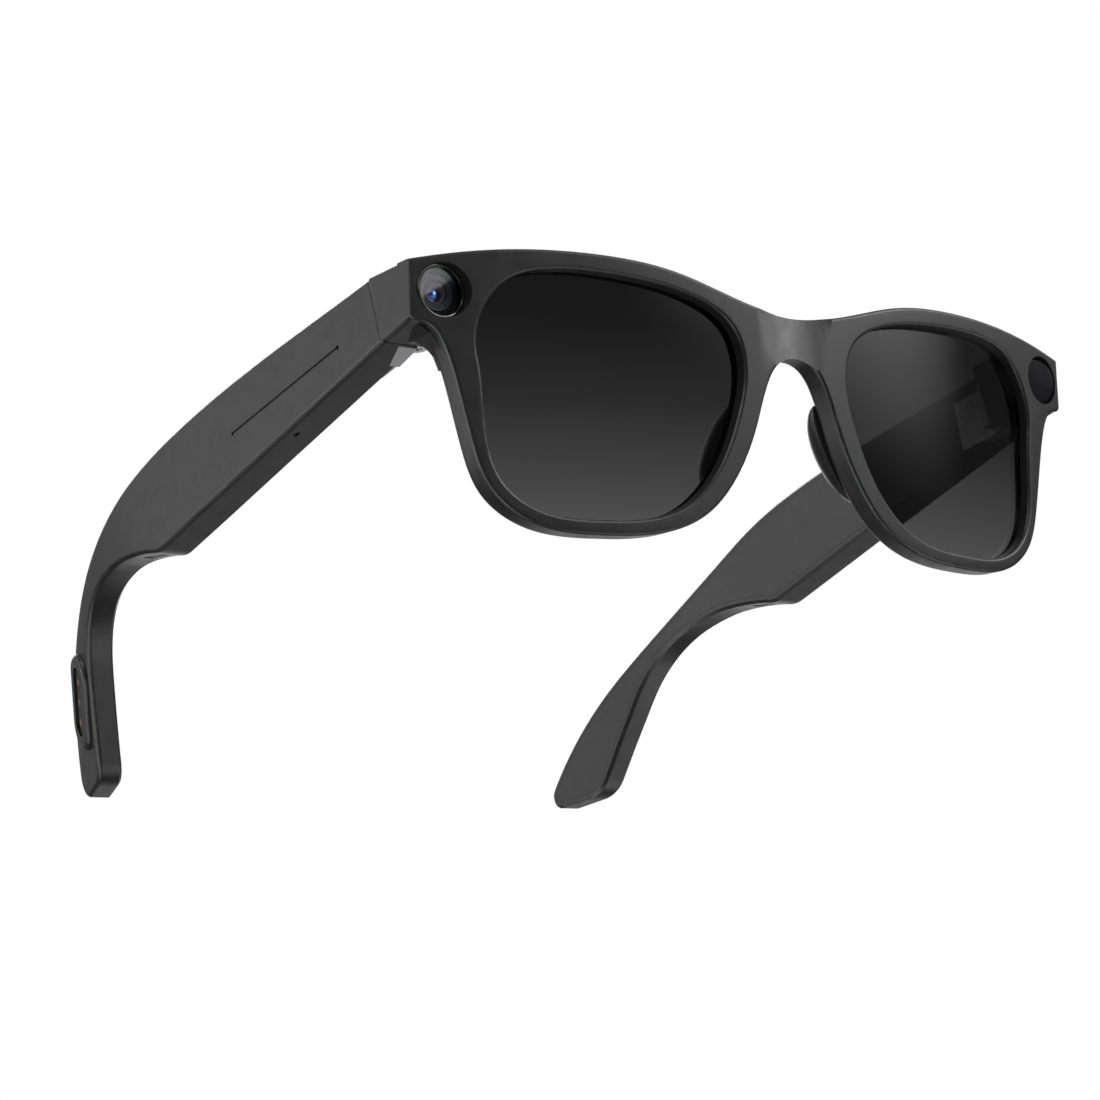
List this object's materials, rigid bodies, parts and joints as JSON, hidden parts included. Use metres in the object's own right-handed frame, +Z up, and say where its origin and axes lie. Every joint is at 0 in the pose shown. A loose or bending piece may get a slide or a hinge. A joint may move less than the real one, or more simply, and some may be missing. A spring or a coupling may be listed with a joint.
{
  "type": "smart glasses",
  "caption": "Camera glasses: tinted lenses in a black plastic front, camera and indicator in the endpieces, and folding temples that hold the electronics.",
  "frame": {"origin": "centre of the object's footprint, at the level of the surface it stands on, with the temples open", "axes": "+X to the wearer's left, +Y from the front back to the ear hooks, +Z up"},
  "size_m": [0.152, 0.1672, 0.0472],
  "materials": {
    "frame_plastic": "satin black moulded nylon with a fine even grain",
    "tinted_lens": "grey gradient tint, darker at the top, polished",
    "nose_pad": "satin black, smooth",
    "hinge_steel": "bright satin steel",
    "gloss_black": "polished piano black",
    "camera_glass": "clear cover glass with a blue anti-reflection coating",
    "circuit_board": "dark green solder mask",
    "component_black": "moulded black component bodies",
    "flex_cable": "amber polyimide film",
    "battery_wrap": "silver-grey laminated pouch",
    "speaker_mesh": "black-coated perforated steel",
    "contact_gold": "gold-plated contact pads",
    "magnet_steel": "nickel-plated magnet"
  },
  "bodies": {
    "front": {"front_frame": "frame_plastic", "left_lens": "tinted_lens", "right_lens": "tinted_lens", "left_nose_pad": "nose_pad", "right_nose_pad": "nose_pad", "left_front_hinge": "hinge_steel", "right_front_hinge": "hinge_steel", "left_hinge_screw": "hinge_steel", "right_hinge_screw": "hinge_steel", "front_flex_cable": "flex_cable", "camera_trim_ring": "gloss_black", "camera_window": "camera_glass", "camera_lens_barrel": "gloss_black", "camera_lens_element": "camera_glass", "camera_sensor_board": "circuit_board", "indicator_window": "gloss_black", "indicator_led_board": "circuit_board"},
    "left_temple": {"left_antenna": "flex_cable", "left_battery": "battery_wrap", "left_charge_board": "circuit_board", "left_speaker": "component_black", "left_speaker_grille": "speaker_mesh", "left_temple_cover": "frame_plastic", "left_temple_hinge": "hinge_steel", "left_temple_shell": "frame_plastic"},
    "right_temple": {"button_switch": "component_black", "charging_contacts": "contact_gold", "charging_magnet": "magnet_steel", "charging_port_bezel": "gloss_black", "right_battery": "battery_wrap", "right_main_board": "circuit_board", "right_microphone": "component_black", "right_speaker": "component_black", "right_speaker_grille": "speaker_mesh", "right_temple_cover": "frame_plastic", "right_temple_hinge": "hinge_steel", "right_temple_shell": "frame_plastic", "right_touch_strip": "flex_cable"},
    "capture_button": {"capture_button": "frame_plastic"}
  },
  "joints": [
    {"name": "left_temple_hinge", "type": "hinge", "parent": "front", "child": "left_temple", "pos_m": [0.0643, -0.06241, 0.0393], "axis": [0, -0.0698, 0.9976], "range_deg": [0, 90]},
    {"name": "right_temple_hinge", "type": "hinge", "parent": "front", "child": "right_temple", "pos_m": [-0.0643, -0.06241, 0.0393], "axis": [0, 0.0698, -0.9976], "range_deg": [0, 70]},
    {"name": "capture_button_press", "type": "slide", "parent": "right_temple", "child": "capture_button", "axis": [0, 0, -1], "range_m": [0, 0.00035], "stiffness_N_per_m": 4000, "springref_m": -0.00005}
  ]
}
